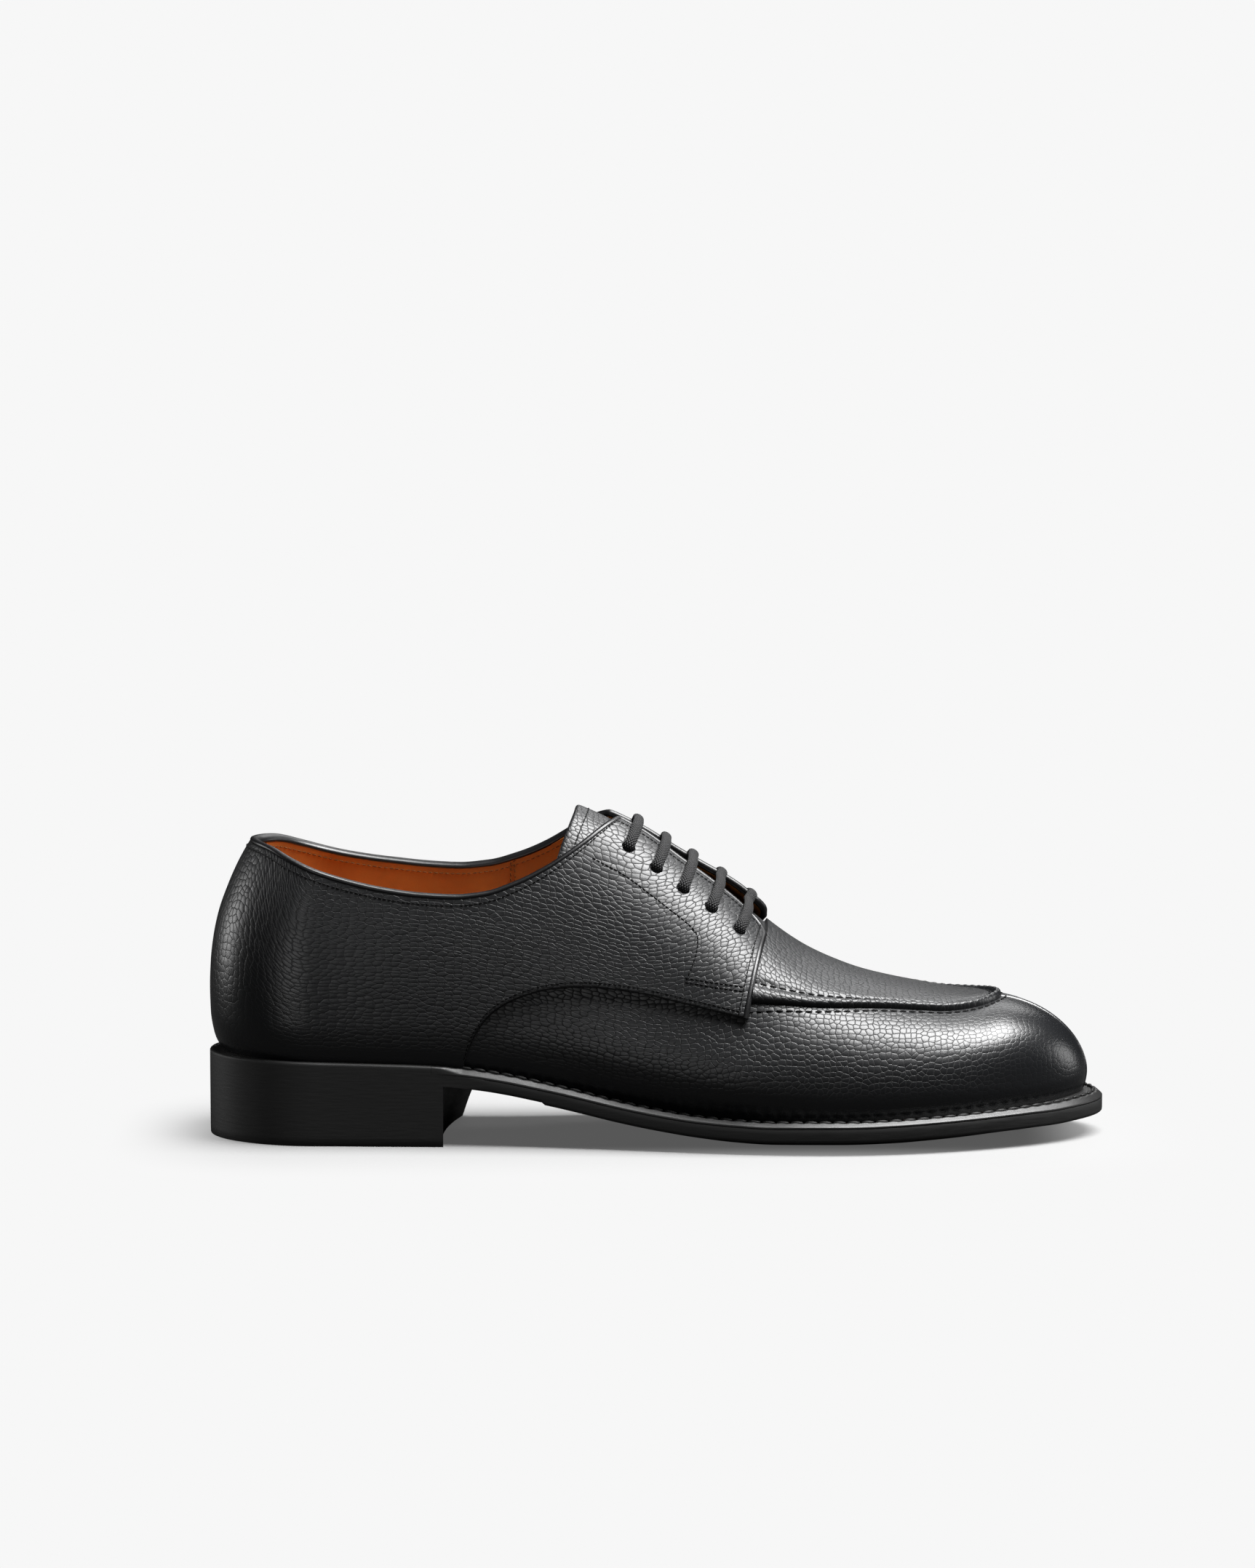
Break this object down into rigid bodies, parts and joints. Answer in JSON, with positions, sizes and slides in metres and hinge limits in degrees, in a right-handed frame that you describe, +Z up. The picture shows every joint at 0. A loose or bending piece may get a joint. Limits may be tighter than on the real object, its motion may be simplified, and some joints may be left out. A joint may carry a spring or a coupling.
{
  "type": "derby shoe",
  "caption": "Black pebble-grain leather derby shoe for the right foot, with a raised apron seam, split toe, open lacing and stacked heel.",
  "frame": {"origin": "centre of the overall box, at the floor", "axes": "+X towards the toe, +Y towards the medial side of the foot, +Z up"},
  "size_m": [0.302, 0.1031, 0.1115],
  "materials": {
    "black_grain_leather": "pebbled, polished towards the toe",
    "black_edge_leather": "burnished",
    "black_rubber": "matt",
    "tan_lining_leather": "smooth",
    "waxed_black_cotton": "waxed braid"
  },
  "bodies": {
    "root": {"apron": "black_grain_leather", "heel_rand": "black_edge_leather", "heel_stack": "black_edge_leather", "heel_top_piece": "black_rubber", "insole": "tan_lining_leather", "lace_bar_1": "waxed_black_cotton", "lace_bar_2": "waxed_black_cotton", "lace_bar_3": "waxed_black_cotton", "lace_bar_4": "waxed_black_cotton", "lace_bar_5": "waxed_black_cotton", "outsole": "black_rubber", "quarter_lateral": "black_grain_leather", "quarter_medial": "black_grain_leather", "toe_seam": "black_grain_leather", "tongue": "black_grain_leather", "upper": "black_grain_leather", "welt": "black_edge_leather"}
  },
  "joints": []
}
